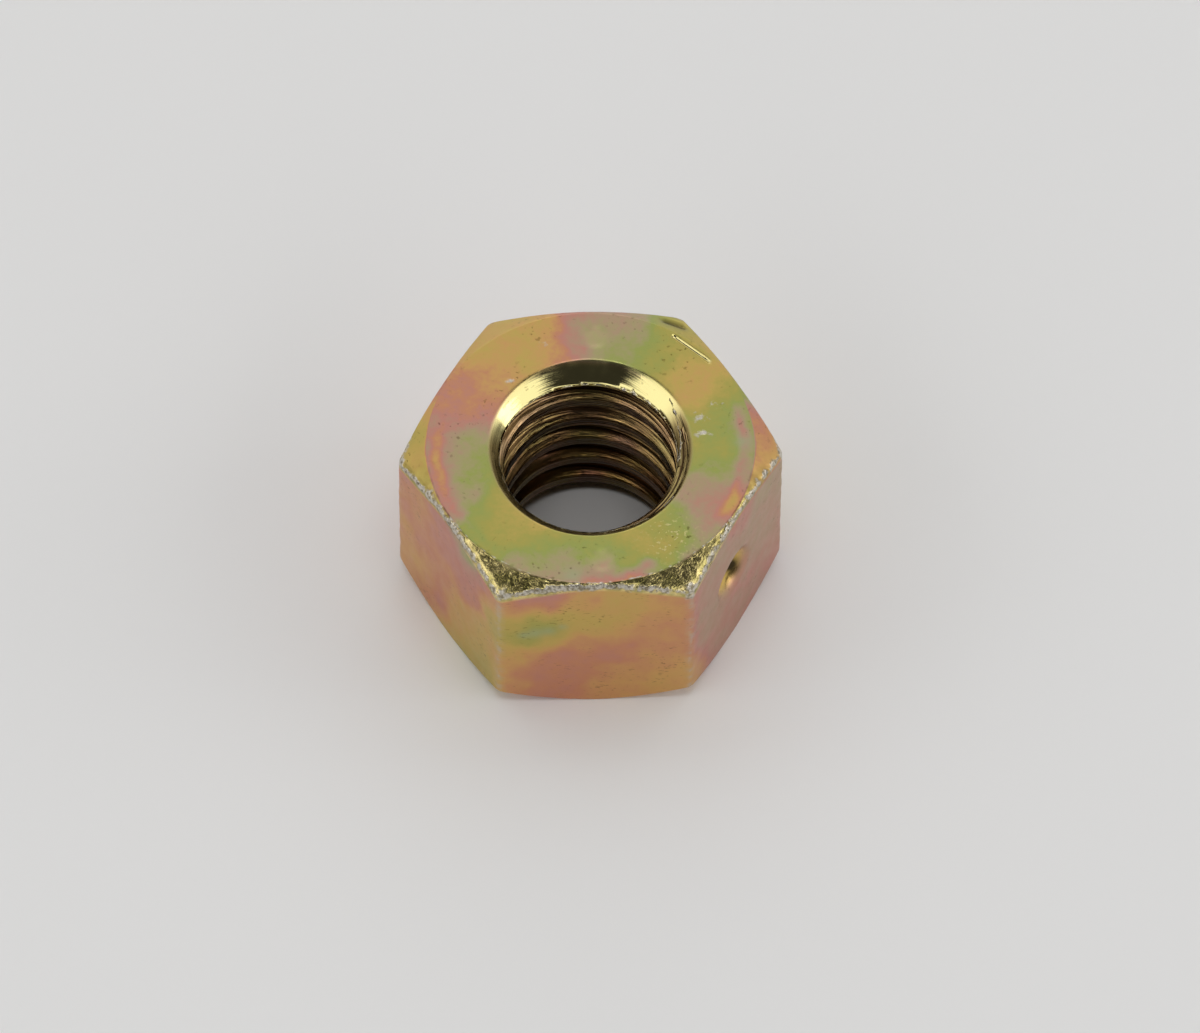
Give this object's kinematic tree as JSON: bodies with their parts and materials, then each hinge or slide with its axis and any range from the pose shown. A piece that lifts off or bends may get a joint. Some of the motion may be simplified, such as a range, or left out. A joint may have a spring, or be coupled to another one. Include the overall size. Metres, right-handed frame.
{
  "type": "all-metal hex lock nut",
  "caption": "Hexagonal all-metal lock nut in yellow zinc plated steel, with a coarse metric thread squeezed by punch dents in opposite flats so that it grips a bolt.",
  "frame": {"origin": "on the thread's axis, in the plane of the bearing face", "axes": "+Z along the thread's axis, out of the marked top face; +X through a corner of the hexagon; the flats across Y are square to Y"},
  "size_m": [0.0114, 0.0098, 0.006],
  "materials": {
    "plated_steel": "yellow chromated zinc plating, iridescent, worn to bright metal along the top edges"
  },
  "bodies": {
    "root": {"lock_nut": "plated_steel"}
  },
  "joints": []
}
